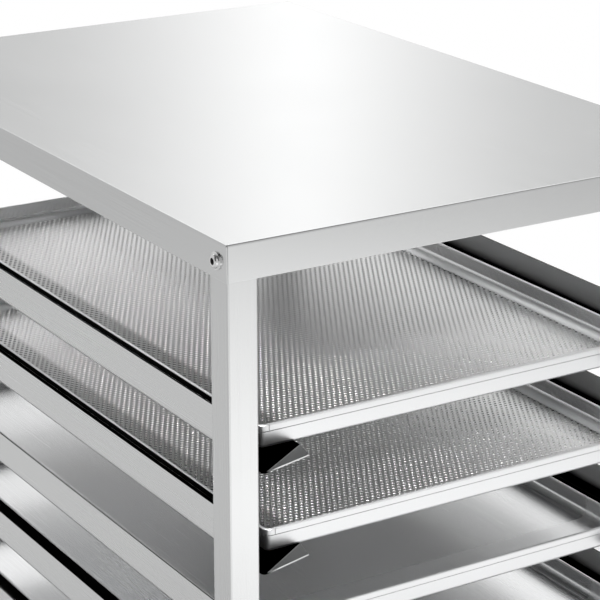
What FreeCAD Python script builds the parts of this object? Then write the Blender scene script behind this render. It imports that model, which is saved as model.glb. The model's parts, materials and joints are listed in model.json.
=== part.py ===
import FreeCAD, Part
import os
import re

# Tray rack trolley: a folded worktop on four tube legs, seven levels of L-shaped support rails,
# a tray on each level and four swivel castors, the two front ones with a brake pedal.
# Frame: +Z up, front at -Y, +X to the right, origin on the floor under the middle of the worktop.
# Sizes are in millimetres.

LEVELS = 7
FORWARD_LEVEL = 2
SHIFTED_LEVEL = 3
TOLERANCE = 1e-6
# Largest share of a corner's radius that an edge meeting it can be rounded by
ROUND_LIMIT = 0.99

SIZES = {
    # Worktop
    "worktop_width": 463,
    "worktop_depth": 680,
    "total_height": 850,
    "worktop_sheet": 1,
    "skirt_height": 28,
    "worktop_bend": 1.6,
    "skirt_corner": 0.7,
    "hem_width": 10,
    "hem_end_gap": 3,
    "stiffener_width": 60,
    "stiffener_sheet": 1.2,
    "stiffener_offset": 170,
    "stiffener_clearance": 6,
    # Legs and base bars, cut from the same tube
    "tube_side": 25,
    "tube_wall": 1.5,
    "tube_corner": 2,
    "bar_rise": 15,
    "base_clearance": 49,
    "insert_flange": 3,
    "insert_length": 32,
    "insert_play": 0.1,
    "plug_length": 26,
    # Screws that hold the worktop
    "screw_diameter": 6,
    "screw_length": 16,
    "screw_depth": 14.5,
    "screw_flange": 13.4,
    "screw_flange_height": 1.2,
    "screw_head": 10.4,
    "screw_head_height": 2.4,
    "screw_head_land": 0.4,
    "screw_key": 4,
    "screw_key_depth": 2.4,
    "hole_play": 0.05,
    # Support rails, with the levels spread evenly between the first and the lowest support
    "first_support": 176.3,
    "rail_height": 32,
    "rail_width": 54,
    "rail_sheet": 1.2,
    "rail_bend": 5,
    "rail_end_gap": 3.5,
    "ramp_start": 8,
    "ramp_length": 30,
    "ramp_recess": 13,
    "ramp_tip_inset": 3,
    "ramp_drop": 1,
    "stop_height": 12,
    "stop_width": 22,
    "stop_inset": 6,
    "rivet_diameter": 4.8,
    "rivet_head": 9.5,
    "rivet_head_height": 1.5,
    "rivet_head_land": 0.3,
    "rivet_tail": 6.4,
    "rivet_tail_length": 5,
    # Trays, 366 wide and 605 deep between these gaps
    "tray_side_gap": 21.3,
    "tray_back_gap": 35.5,
    "tray_height": 18.8,
    "tray_sheet": 1.5,
    "tray_corner": 5,
    "tray_fillet": 1,
    "tray_setback": 39.5,
    "tray_forward": 8,
    "tray_shift": 10,
    "rim_height": 5.5,
    "rim_out": 1.2,
    "rim_round": 1,
    # Castors
    "stem_diameter": 10,
    "stem_length": 28,
    "collar_diameter": 26,
    "collar_height": 5,
    "pivot_diameter": 12,
    "pivot_head": 20,
    "pivot_head_height": 2.6,
    "fork_head_diameter": 44,
    "fork_head_height": 11,
    "fork_sheet": 3,
    "fork_front": 20,
    "fork_back": 24,
    "fork_end": 12,
    "trail": 28,
    "wheel_diameter": 75,
    "wheel_clearance": 10.7,
    "tyre_width": 24,
    "tyre_thickness": 10.5,
    "tyre_side_gap": 2,
    "tyre_round": 5,
    "hub_rim": 4,
    "hub_rim_inset": 2,
    "hub_web": 7,
    "hub_boss": 20,
    "axle_diameter": 8,
    "axle_head": 14,
    "axle_head_height": 4.5,
    "running_gap": 0.3,
    # Brake pedals
    "pedal_back": 50,
    "pedal_drop": 5.7,
    "pedal_ear": 8,
    "pedal_pin": 6,
    "pedal_pin_head": 10,
    "pedal_pin_head_height": 2,
    "pedal_shoe_gap": 0.4,
    "pedal_reach": 44,
    "pedal_tread": 36,
    "pedal_thickness": 5,
    "pedal_round": 4,
}

doc = FreeCAD.newDocument("tray_rack_trolley")
sheet = doc.addObject("Spreadsheet::Sheet", "Sizes")
for row, (alias, number) in enumerate(SIZES.items(), start=1):
    sheet.set(f"A{row}", alias)
    sheet.set(f"B{row}", str(number))
    sheet.setAlias(f"B{row}", alias)
doc.recompute()

# Lines that several pieces share, as formulas of the sizes. Left is -X and front is -Y.
LEFT = "(-worktop_width / 2)"
FRONT = "(-worktop_depth / 2)"
FORK_BOTTOM = "(wheel_diameter + wheel_clearance)"
FORK_PLATE_TOP = f"({FORK_BOTTOM} + fork_sheet)"
FORK_TOP = f"({FORK_PLATE_TOP} + fork_head_height)"
COLLAR_BOTTOM = f"({FORK_TOP} + running_gap)"
CASTOR_TOP = f"({COLLAR_BOTTOM} + collar_height)"
BAR_BOTTOM = f"({CASTOR_TOP} + bar_rise)"
BAR_TOP = f"({BAR_BOTTOM} + tube_side)"
LOWEST_SUPPORT = f"({BAR_TOP} + base_clearance)"
LEVEL_PITCH = f"((total_height - first_support - {LOWEST_SUPPORT}) / {LEVELS - 1})"
SHEET_BOTTOM = "(total_height - worktop_sheet)"
SKIRT_BOTTOM = "(total_height - skirt_height)"
LEG_LEFT = f"({LEFT} + worktop_sheet)"
LEG_RIGHT = f"({LEG_LEFT} + tube_side)"
LEG_FRONT = f"({FRONT} + worktop_sheet)"
LEG_BACK = f"({LEG_FRONT} + tube_side)"
LEG_MIDDLE_X = f"({LEG_LEFT} + tube_side / 2)"
LEG_MIDDLE_Y = f"({LEG_FRONT} + tube_side / 2)"
LEG_BOTTOM = f"({CASTOR_TOP} + insert_flange)"
SCREW_HEIGHT = "(total_height - screw_depth)"
SCREW_HOLE = "screw_diameter + 2 * hole_play"
RIVET_HOLE = "rivet_diameter + 2 * hole_play"
RAIL_FRONT = f"({FRONT} + rail_end_gap)"
RAIL_INNER = f"({LEG_RIGHT} + rail_width)"
HUB_HALF = "(tyre_width / 2 + tyre_side_gap)"
HUB_DIAMETER = "(wheel_diameter - 2 * tyre_thickness)"
FORK_INSIDE = f"({HUB_HALF} + running_gap)"
FORK_OUTSIDE = f"({FORK_INSIDE} + fork_sheet)"
WHEEL_Y = f"({LEG_MIDDLE_Y} + trail)"
WHEEL_Z = "(wheel_diameter / 2)"
PEDAL_Y = f"({LEG_MIDDLE_Y} + pedal_back)"
PEDAL_Z = f"({FORK_BOTTOM} - pedal_drop)"


def formula(text):
    """The formula with each size's name turned into its place in the sheet."""
    def full_name(match):
        word = match.group()
        return f"Sizes.{word}" if word in SIZES else word
    return re.sub(r"[a-z_]+", full_name, text)


def value(alias):
    """A size as a number."""
    return float(sheet.get(alias))


def bind(obj, **formulas):
    for prop, text in formulas.items():
        obj.setExpression(prop, formula(text))
    return obj


def place(obj, x, y, z):
    for axis, text in zip("xyz", (x, y, z)):
        obj.setExpression(f"Placement.Base.{axis}", formula(text))
    return obj


def box(name, x, y, z):
    """A block between the two ends given for each axis."""
    block = doc.addObject("Part::Box", name)
    lengths = [f"({high}) - ({low})" for low, high in (x, y, z)]
    bind(block, Length=lengths[0], Width=lengths[1], Height=lengths[2])
    return place(block, x[0], y[0], z[0])


TURNS = {
    "x": FreeCAD.Rotation(FreeCAD.Vector(0, 1, 0), 90),
    "y": FreeCAD.Rotation(FreeCAD.Vector(1, 0, 0), -90),
    "z": FreeCAD.Rotation(),
}


def rod(name, axis, diameter, ends, across):
    """A round bar along an axis between two ends; across holds its place on the other two axes."""
    bar = doc.addObject("Part::Cylinder", name)
    bind(bar, Radius=f"({diameter}) / 2", Height=f"({ends[1]}) - ({ends[0]})")
    bar.Placement = FreeCAD.Placement(FreeCAD.Vector(), TURNS[axis])
    spot = list(across)
    spot.insert("xyz".index(axis), ends[0])
    return place(bar, *spot)


def fuse(name, *shapes):
    whole = doc.addObject("Part::MultiFuse", name)
    whole.Shapes = list(shapes)
    whole.Refine = True
    return whole


def group(name, *shapes):
    whole = doc.addObject("Part::Compound", name)
    whole.Links = list(shapes)
    return whole


def cut(name, base, *tools):
    rest = doc.addObject("Part::Cut", name)
    rest.Base = base
    rest.Tool = tools[0] if len(tools) == 1 else group(name + "_tools", *tools)
    return rest


def mirror(name, source, axis):
    twin = doc.addObject("Part::Mirroring", name)
    twin.Source = source
    twin.Normal = FreeCAD.Vector(*(1 if letter == axis else 0 for letter in "xyz"))
    return twin


def rounded(name, base, radius, wanted):
    """The base with the wanted edges rounded; wanted is a test of an edge and of the base's limits."""
    doc.recompute()
    limits = base.Shape.BoundBox
    edges = [number for number, edge in enumerate(base.Shape.Edges, start=1) if wanted(edge, limits)]
    soft = doc.addObject("Part::Fillet", name)
    soft.Base = base
    soft.Edges = [(number, radius, radius) for number in edges]
    return soft


def span(limits, axis):
    """Where a box starts and ends on an axis."""
    spans = {
        "x": (limits.XMin, limits.XMax),
        "y": (limits.YMin, limits.YMax),
        "z": (limits.ZMin, limits.ZMax),
    }
    return spans[axis]


def along(axis):
    """A test for straight edges that run along an axis."""
    def test(edge, limits):
        low, high = span(edge.BoundBox, axis)
        return edge.Length - (high - low) < TOLERANCE
    return test


def at_end(axis, end):
    """A test for edges that lie flat at the low end, 0, or the high end, 1, of their shape on an axis."""
    def test(edge, limits):
        low, high = span(edge.BoundBox, axis)
        return high - low < TOLERANCE and abs(high - span(limits, axis)[end]) < TOLERANCE
    return test


def in_corner(depth):
    """A test for edges along Y that lie this deep inside the low corner of an L-shaped section."""
    def test(edge, limits):
        middle = edge.CenterOfMass
        miss = abs(middle.x - limits.XMin - depth) + abs(middle.z - limits.ZMin - depth)
        return along("y")(edge, limits) and miss < TOLERANCE
    return test


NODES = []


def node(label, obj):
    """Names a finished piece, which then has its own file."""
    obj.Label = label
    NODES.append(obj)
    return obj


def four_corners(name, source):
    """The front left piece and its three mirrored twins."""
    right = mirror(name + "_right", source, "x")
    back = mirror(name + "_back", source, "y")
    far = mirror(name + "_far", back, "x")
    return source, right, back, far


# Worktop: a folded sheet with skirts and hems
def make_worktop():
    half_width, half_depth = "worktop_width / 2", "worktop_depth / 2"
    outside = box("worktop_outside", (LEFT, half_width), (FRONT, half_depth), (SKIRT_BOTTOM, "total_height"))
    corners = rounded("worktop_corners", outside, value("skirt_corner"), along("z"))
    bent = rounded("worktop_bent", corners, value("worktop_bend"), at_end("z", 1))
    inside = box(
        "worktop_inside",
        (f"{LEFT} + worktop_sheet", f"{half_width} - worktop_sheet"),
        (f"{FRONT} + worktop_sheet", f"{half_depth} - worktop_sheet"),
        (f"{SKIRT_BOTTOM} - skirt_height", SHEET_BOTTOM),
    )
    shell = cut("worktop_shell", bent, inside)
    hem_z = (SKIRT_BOTTOM, f"{SKIRT_BOTTOM} + worktop_sheet")
    hem_ends_x = (f"{LEG_RIGHT} + hem_end_gap", f"-({LEG_RIGHT} + hem_end_gap)")
    hem_ends_y = (f"{LEG_BACK} + hem_end_gap", f"-({LEG_BACK} + hem_end_gap)")
    side_hem_x = f"{LEFT} + worktop_sheet / 2", f"{LEG_LEFT} + hem_width"
    front_hem_y = f"{FRONT} + worktop_sheet / 2", f"{LEG_FRONT} + hem_width"
    side_hem = box("hem_left", side_hem_x, hem_ends_y, hem_z)
    front_hem = box("hem_front", hem_ends_x, front_hem_y, hem_z)
    hems = side_hem, mirror("hem_right", side_hem, "x"), front_hem, mirror("hem_back", front_hem, "y")
    folded = fuse("worktop_folded", shell, *hems)
    hole_ends = f"{LEFT} - worktop_sheet", f"{LEG_LEFT} + worktop_sheet"
    hole = rod("skirt_hole", "x", SCREW_HOLE, hole_ends, (LEG_MIDDLE_Y, SCREW_HEIGHT))
    node("worktop", cut("worktop_piece", folded, *four_corners("skirt_holes", hole)))


# Stiffeners: two channels under the worktop, open to the sheet
def make_stiffeners():
    ends = LEG_LEFT, f"-{LEG_LEFT}"
    bottom = f"({SKIRT_BOTTOM} + worktop_sheet + stiffener_clearance)"
    sides = "-stiffener_offset - stiffener_width / 2", "-stiffener_offset + stiffener_width / 2"
    outside = box("channel_outside", ends, sides, (bottom, SHEET_BOTTOM))
    inside = box(
        "channel_inside",
        (f"{ends[0]} - stiffener_sheet", f"{ends[1]} + stiffener_sheet"),
        (f"{sides[0]} + stiffener_sheet", f"{sides[1]} - stiffener_sheet"),
        (f"{bottom} + stiffener_sheet", "total_height"),
    )
    channel = cut("channel", outside, inside)
    node("worktop_stiffeners", group("stiffener_pair", channel, mirror("channel_back", channel, "y")))


def support(level):
    """Height of the surface that a level's tray lies on."""
    return f"({LOWEST_SUPPORT} + {LEVELS - level} * {LEVEL_PITCH})"


def rivet_height(level):
    """Half way up the flat of a level's rail, above its bend."""
    return f"({support(level)} + (rail_height + rail_bend - rail_sheet) / 2)"


# Legs: square tubes with holes for the rail rivets and the worktop screw
def make_legs():
    tube_z = LEG_BOTTOM, SHEET_BOTTOM
    outside = box("leg_outside", (LEG_LEFT, LEG_RIGHT), (LEG_FRONT, LEG_BACK), tube_z)
    soft = rounded("leg_soft", outside, value("tube_corner"), along("z"))
    inside = box(
        "leg_inside",
        (f"{LEG_LEFT} + tube_wall", f"{LEG_RIGHT} - tube_wall"),
        (f"{LEG_FRONT} + tube_wall", f"{LEG_BACK} - tube_wall"),
        (f"{LEG_BOTTOM} - tube_wall", f"{SHEET_BOTTOM} + tube_wall"),
    )
    screw_ends = f"{LEG_LEFT} - tube_wall", LEG_MIDDLE_X
    holes = [rod("leg_hole", "x", SCREW_HOLE, screw_ends, (LEG_MIDDLE_Y, SCREW_HEIGHT))]
    rivet_ends = LEG_MIDDLE_X, f"{LEG_RIGHT} + tube_wall"
    for level in range(1, LEVELS + 1):
        across = LEG_MIDDLE_Y, rivet_height(level)
        holes.append(rod(f"leg_rivet_hole_{level}", "x", RIVET_HOLE, rivet_ends, across))
    tube = cut("leg_tube", soft, inside)
    front_left = cut("leg_drilled", tube, *holes)
    names = "leg_front_left", "leg_front_right", "leg_rear_left", "leg_rear_right"
    for label, piece in zip(names, four_corners("leg", front_left)):
        node(label, piece)


# Plugs in the legs' tops and inserts in their bottoms
def make_leg_ends():
    core_x = f"{LEG_LEFT} + tube_wall + insert_play", f"{LEG_RIGHT} - tube_wall - insert_play"
    core_y = f"{LEG_FRONT} + tube_wall + insert_play", f"{LEG_BACK} - tube_wall - insert_play"
    block = box("plug_block", core_x, core_y, (f"{SHEET_BOTTOM} - plug_length", SHEET_BOTTOM))
    bore_ends = f"{LEG_LEFT} - tube_wall", f"{LEFT} + screw_length + screw_diameter / 2"
    bore = rod("plug_bore", "x", SCREW_HOLE, bore_ends, (LEG_MIDDLE_Y, SCREW_HEIGHT))
    node("leg_top_plugs", group("plug_set", *four_corners("plug", cut("plug", block, bore))))
    flange_z = CASTOR_TOP, LEG_BOTTOM
    flange = box("insert_flange_block", (LEG_LEFT, LEG_RIGHT), (LEG_FRONT, LEG_BACK), flange_z)
    soft_flange = rounded("insert_flange_soft", flange, value("tube_corner"), along("z"))
    core = box("insert_core", core_x, core_y, (CASTOR_TOP, f"{CASTOR_TOP} + insert_length"))
    whole = fuse("insert_whole", soft_flange, core)
    stem_ends = f"{CASTOR_TOP} - insert_flange", f"{CASTOR_TOP} + insert_length + insert_flange"
    stem_spot = LEG_MIDDLE_X, LEG_MIDDLE_Y
    stem_bore = rod("insert_bore", "z", "stem_diameter + 2 * hole_play", stem_ends, stem_spot)
    node("leg_bottom_inserts", group("insert_set", *four_corners("insert", cut("insert", whole, stem_bore))))


# Screws that hold the worktop's side skirts to the legs
def make_screws():
    spot = LEG_MIDDLE_Y, SCREW_HEIGHT
    flange = rod("screw_flange_disc", "x", "screw_flange", (f"{LEFT} - screw_flange_height", LEFT), spot)
    head_face = f"({LEFT} - screw_flange_height - screw_head_height)"
    head = rod("screw_head_disc", "x", "screw_head", (head_face, f"{LEFT} - screw_flange_height"), spot)
    head_round = value("screw_head_height") - value("screw_head_land")
    button = rounded("screw_button", head, head_round, at_end("x", 0))
    shank = rod("screw_shank", "x", "screw_diameter", (LEFT, f"{LEFT} + screw_length"), spot)
    whole = fuse("screw_whole", flange, button, shank)
    key = doc.addObject("Part::Prism", "screw_key_prism")
    key.Polygon = 6
    bind(key, Circumradius="screw_key / sqrt(3)", Height="2 * screw_key_depth")
    key.Placement = FreeCAD.Placement(FreeCAD.Vector(), TURNS["x"])
    place(key, f"{head_face} - screw_key_depth", *spot)
    node("worktop_screws", group("screw_set", *four_corners("screw", cut("screw", whole, key))))


# Base bars: tubes that tie the legs above the castors
def make_base():
    bar_z = BAR_BOTTOM, BAR_TOP
    open_z = f"{BAR_BOTTOM} + tube_wall", f"{BAR_TOP} - tube_wall"
    side_x = LEG_LEFT, f"{LEG_LEFT} + tube_side"
    side_ends = LEG_BACK, f"-{LEG_BACK}"
    side = box("side_bar_outside", side_x, side_ends, bar_z)
    side_soft = rounded("side_bar_soft", side, value("tube_corner"), along("y"))
    side_open = box(
        "side_bar_inside",
        (f"{side_x[0]} + tube_wall", f"{side_x[1]} - tube_wall"),
        (f"{LEG_BACK} - tube_wall", f"-{LEG_BACK} + tube_wall"),
        open_z,
    )
    left = node("base_bar_left", cut("side_bar", side_soft, side_open))
    node("base_bar_right", mirror("side_bar_right", left, "x"))
    front_y = LEG_FRONT, f"{LEG_FRONT} + tube_side"
    cross = box("cross_bar_outside", (LEG_RIGHT, f"-{LEG_RIGHT}"), front_y, bar_z)
    cross_soft = rounded("cross_bar_soft", cross, value("tube_corner"), along("x"))
    cross_open = box(
        "cross_bar_inside",
        (f"{LEG_RIGHT} - tube_wall", f"-{LEG_RIGHT} + tube_wall"),
        (f"{front_y[0]} + tube_wall", f"{front_y[1]} - tube_wall"),
        open_z,
    )
    front = node("base_bar_front", cut("cross_bar", cross_soft, cross_open))
    node("base_bar_rear", mirror("cross_bar_rear", front, "y"))


def corner_sheet(name, tip, level):
    """The front inner corner of a left rail's flange: three-cornered, from its fold to the tip."""
    width = value("rail_width")
    points = [(value("ramp_start"), 0, 0), (width, value("ramp_length"), 0), tip]
    outline = Part.makePolygon([FreeCAD.Vector(*point) for point in points + points[:1]])
    piece = doc.addObject("Part::Feature", name)
    piece.Shape = Part.Face(outline).extrude(FreeCAD.Vector(0, 0, -value("rail_sheet")))
    return place(piece, LEG_RIGHT, RAIL_FRONT, support(level))


# Rails: an L-shaped sheet per level and side, with a ramp at the front and a stop at the back
def make_rails():
    rail_ends = RAIL_FRONT, f"-{RAIL_FRONT}"
    width = value("rail_width")
    flat_tip = width, 0, 0
    ramp_tip = width - value("ramp_tip_inset"), value("ramp_recess"), -value("ramp_drop")
    inside_bend, sheet_gauge = value("rail_bend"), value("rail_sheet")
    for level in range(1, LEVELS + 1):
        top = support(level)
        bottom = f"({top} - rail_sheet)"
        upright_z = bottom, f"{bottom} + rail_height"
        upright = box(f"rail_upright_{level}", (LEG_RIGHT, f"{LEG_RIGHT} + rail_sheet"), rail_ends, upright_z)
        flange = box(f"rail_flange_{level}", (LEG_RIGHT, RAIL_INNER), rail_ends, (bottom, top))
        angle = fuse(f"rail_angle_{level}", upright, flange)
        bent_in = rounded(f"rail_bent_in_{level}", angle, inside_bend, in_corner(sheet_gauge))
        bent = rounded(f"rail_bent_{level}", bent_in, inside_bend + sheet_gauge, in_corner(0))
        holes = [corner_sheet(f"rail_corner_{level}", flat_tip, level)]
        hole_ends = f"{LEG_RIGHT} - rail_sheet", f"{LEG_RIGHT} + 2 * rail_sheet"
        for end, middle in (("front", LEG_MIDDLE_Y), ("rear", f"-{LEG_MIDDLE_Y}")):
            across = middle, rivet_height(level)
            holes.append(rod(f"rail_hole_{end}_{level}", "x", RIVET_HOLE, hole_ends, across))
        open_rail = cut(f"rail_open_{level}", bent, *holes)
        ramp = corner_sheet(f"rail_ramp_{level}", ramp_tip, level)
        stop_face = f"(-{FRONT} - tray_back_gap + running_gap)"
        stop_x = f"{RAIL_INNER} - stop_inset - stop_width", f"{RAIL_INNER} - stop_inset"
        stop_z = bottom, f"{top} + stop_height"
        stop = box(f"rail_stop_{level}", stop_x, (stop_face, f"{stop_face} + rail_sheet"), stop_z)
        left = node(f"rail_left_{level}", fuse(f"rail_{level}", open_rail, ramp, stop))
        node(f"rail_right_{level}", mirror(f"rail_right_piece_{level}", left, "x"))


# Blind rivets that fix the rails to the legs
def make_rivets():
    inner_face = f"({LEG_RIGHT} + rail_sheet)"
    leg_inside = f"({LEG_RIGHT} - tube_wall)"
    head_round = value("rivet_head_height") - value("rivet_head_land")
    rivets = []
    for level in range(1, LEVELS + 1):
        spot = LEG_MIDDLE_Y, rivet_height(level)
        head_ends = inner_face, f"{inner_face} + rivet_head_height"
        head = rod(f"rivet_head_disc_{level}", "x", "rivet_head", head_ends, spot)
        dome = rounded(f"rivet_dome_{level}", head, head_round, at_end("x", 1))
        shank = rod(f"rivet_shank_{level}", "x", "rivet_diameter", (leg_inside, inner_face), spot)
        tail_ends = f"{leg_inside} - rivet_tail_length", leg_inside
        tail = rod(f"rivet_tail_disc_{level}", "x", "rivet_tail", tail_ends, spot)
        rivets += four_corners(f"rivets_{level}", fuse(f"rivet_{level}", dome, shank, tail))
    node("rail_rivets", group("rivet_set", *rivets))


# Trays: a pressed sheet with rounded corners, a rounded floor edge and a hemmed rim
def make_trays():
    half = f"(-{LEG_RIGHT} - rail_sheet - tray_side_gap)"
    corner, sheet_gauge, fillet = value("tray_corner"), value("tray_sheet"), value("tray_fillet")
    room_corner = corner - sheet_gauge
    for level in range(1, LEVELS + 1):
        forward = "tray_forward" if level == FORWARD_LEVEL else "0"
        front = f"({FRONT} + tray_setback - {forward})"
        back = f"(-{FRONT} - tray_back_gap - {forward})"
        shift = "tray_shift" if level == SHIFTED_LEVEL else "0"
        left, right = f"(-{half} - {shift})", f"({half} - {shift})"
        bottom = f"({support(level)} + running_gap)"
        top = f"({bottom} + tray_height)"
        wall_x = f"{left} + rim_out", f"{right} - rim_out"
        wall_y = f"{front} + rim_out", f"{back} - rim_out"
        outside = box(f"tray_outside_{level}", wall_x, wall_y, (bottom, top))
        corners = rounded(f"tray_corners_{level}", outside, corner, along("z"))
        floor_round = min(fillet + sheet_gauge, ROUND_LIMIT * corner)
        pressed = rounded(f"tray_pressed_{level}", corners, floor_round, at_end("z", 0))
        room_x = f"{wall_x[0]} + tray_sheet", f"{wall_x[1]} - tray_sheet"
        room_y = f"{wall_y[0]} + tray_sheet", f"{wall_y[1]} - tray_sheet"
        room = box(f"tray_room_{level}", room_x, room_y, (f"{bottom} + tray_sheet", f"{top} + tray_height"))
        room_corners = rounded(f"tray_room_corners_{level}", room, room_corner, along("z"))
        room_round = min(fillet, ROUND_LIMIT * room_corner)
        room_soft = rounded(f"tray_room_soft_{level}", room_corners, room_round, at_end("z", 0))
        rim_z = f"{top} - rim_height", top
        rim_outside = box(f"rim_outside_{level}", (left, right), (front, back), rim_z)
        rim_corners = rounded(f"rim_corners_{level}", rim_outside, corner + value("rim_out"), along("z"))
        rim = rounded(f"rim_{level}", rim_corners, value("rim_round"), at_end("z", 1))
        whole = fuse(f"tray_whole_{level}", pressed, rim)
        node(f"tray_{level}", cut(f"tray_piece_{level}", whole, room_soft))


# Castor stems: a stud in the leg's insert, a collar and the pivot that the fork turns on
def make_stems():
    spot = LEG_MIDDLE_X, LEG_MIDDLE_Y
    pivot_bottom = f"({FORK_BOTTOM} - running_gap)"
    stud = rod("stem_stud", "z", "stem_diameter", (CASTOR_TOP, f"{CASTOR_TOP} + stem_length"), spot)
    collar = rod("stem_collar", "z", "collar_diameter", (COLLAR_BOTTOM, CASTOR_TOP), spot)
    pivot = rod("stem_pivot", "z", "pivot_diameter", (pivot_bottom, COLLAR_BOTTOM), spot)
    head = rod("stem_head", "z", "pivot_head", (f"{pivot_bottom} - pivot_head_height", pivot_bottom), spot)
    whole = fuse("stem", stud, collar, pivot, head)
    node("castor_stems", group("stem_set", *four_corners("stem", whole)))


def make_fork(name, braked):
    """A front left fork: head, plate and two cheeks down to the axle; a braked one has ears for its pedal."""
    spot = LEG_MIDDLE_X, LEG_MIDDLE_Y
    head = rod(f"{name}_head", "z", "fork_head_diameter", (FORK_PLATE_TOP, FORK_TOP), spot)
    plate_x = f"{LEG_MIDDLE_X} - {FORK_OUTSIDE}", f"{LEG_MIDDLE_X} + {FORK_OUTSIDE}"
    plate_y = f"{LEG_MIDDLE_Y} - fork_front", f"{LEG_MIDDLE_Y} + fork_back"
    plate = box(f"{name}_plate", plate_x, plate_y, (FORK_BOTTOM, FORK_PLATE_TOP))
    cheek = doc.addObject("Part::Wedge", f"{name}_cheek_blade")
    bind(
        cheek,
        Xmin="trail - fork_end", Xmax="trail + fork_end", X2min="-fork_front", X2max="fork_back",
        Ymin="0", Ymax=f"{FORK_PLATE_TOP} - {WHEEL_Z}",
        Zmin="0", Zmax="fork_sheet", Z2min="0", Z2max="fork_sheet",
    )
    blade_axes = FreeCAD.Vector(0, 1, 0), FreeCAD.Vector(0, 0, 1), FreeCAD.Vector(1, 0, 0)
    cheek.Placement = FreeCAD.Placement(FreeCAD.Vector(), FreeCAD.Rotation(*blade_axes, "XYZ"))
    place(cheek, f"{LEG_MIDDLE_X} + {FORK_INSIDE}", LEG_MIDDLE_Y, WHEEL_Z)
    cheek_ends = f"{LEG_MIDDLE_X} + {FORK_INSIDE}", f"{LEG_MIDDLE_X} + {FORK_OUTSIDE}"
    parts = [cheek, rod(f"{name}_cheek_end", "x", "2 * fork_end", cheek_ends, (WHEEL_Y, WHEEL_Z))]
    through = f"{LEG_MIDDLE_X} - 2 * {FORK_OUTSIDE}", f"{LEG_MIDDLE_X} + 2 * {FORK_OUTSIDE}"
    axle_hole = rod(f"{name}_axle_hole", "x", "axle_diameter + 2 * hole_play", through, (WHEEL_Y, WHEEL_Z))
    pivot_ends = f"{FORK_BOTTOM} - fork_sheet", f"{FORK_TOP} + fork_sheet"
    holes = [axle_hole, rod(f"{name}_bore", "z", "pivot_diameter + 2 * hole_play", pivot_ends, spot)]
    if braked:
        ear_spot = PEDAL_Y, PEDAL_Z
        ear_z = f"{PEDAL_Z} - pedal_ear", f"{PEDAL_Z} + pedal_ear"
        parts.append(rod(f"{name}_ear_end", "x", "2 * pedal_ear", cheek_ends, ear_spot))
        parts.append(box(f"{name}_ear", cheek_ends, (LEG_MIDDLE_Y, PEDAL_Y), ear_z))
        holes.append(rod(f"{name}_pin_hole", "x", "pedal_pin + 2 * hole_play", through, ear_spot))
    right_cheek = fuse(f"{name}_cheek", *parts)
    left_cheek = doc.addObject("Part::Mirroring", f"{name}_cheek_left")
    left_cheek.Source = right_cheek
    left_cheek.Normal = FreeCAD.Vector(1, 0, 0)
    left_cheek.setExpression("Base.x", formula(LEG_MIDDLE_X))
    whole = fuse(f"{name}_whole", head, plate, right_cheek, left_cheek)
    return cut(f"{name}_piece", whole, *holes)


def make_axle(name):
    """A front left axle: a bolt with its head outside one cheek and its nut outside the other."""
    spot = WHEEL_Y, WHEEL_Z
    low, high = f"({LEG_MIDDLE_X} - {FORK_OUTSIDE})", f"({LEG_MIDDLE_X} + {FORK_OUTSIDE})"
    shaft = rod(f"{name}_shaft", "x", "axle_diameter", (low, high), spot)
    head = rod(f"{name}_head", "x", "axle_head", (f"{low} - axle_head_height", low), spot)
    nut = doc.addObject("Part::Prism", f"{name}_nut")
    nut.Polygon = 6
    bind(nut, Circumradius="axle_head / 2", Height="axle_head_height")
    nut.Placement = FreeCAD.Placement(FreeCAD.Vector(), TURNS["x"])
    place(nut, high, *spot)
    return fuse(f"{name}_piece", shaft, head, nut)


def make_hub(name):
    """A front left wheel hub: rim, thin web and a long boss on the axle."""
    spot = WHEEL_Y, WHEEL_Z
    def disc(part, diameter, width):
        ends = f"{LEG_MIDDLE_X} - ({width}) / 2", f"{LEG_MIDDLE_X} + ({width}) / 2"
        return rod(f"{name}_{part}", "x", diameter, ends, spot)
    rim_disc = disc("rim_disc", HUB_DIAMETER, "tyre_width - 2 * hub_rim_inset")
    rim_room = disc("rim_room", f"{HUB_DIAMETER} - 2 * hub_rim", "tyre_width")
    rim = cut(f"{name}_rim", rim_disc, rim_room)
    web = disc("web", f"{HUB_DIAMETER} - hub_rim", "hub_web")
    boss = disc("boss", "hub_boss", f"2 * {HUB_HALF}")
    bore = disc("bore", "axle_diameter + 2 * hole_play", f"4 * {HUB_HALF}")
    return cut(f"{name}_piece", fuse(f"{name}_whole", rim, web, boss), bore)


def make_tyre(name):
    """A front left tyre: a ring with rounded shoulders around the hub."""
    spot = WHEEL_Y, WHEEL_Z
    ends = f"{LEG_MIDDLE_X} - tyre_width / 2", f"{LEG_MIDDLE_X} + tyre_width / 2"
    disc = rod(f"{name}_disc", "x", "wheel_diameter", ends, spot)

    def is_shoulder(edge, limits):
        return not along("x")(edge, limits)

    soft = rounded(f"{name}_soft", disc, value("tyre_round"), is_shoulder)
    wide_ends = f"{ends[0]} - tyre_width", f"{ends[1]} + tyre_width"
    room = rod(f"{name}_room", "x", f"{HUB_DIAMETER} + 2 * hole_play", wide_ends, spot)
    return cut(f"{name}_piece", soft, room)


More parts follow.
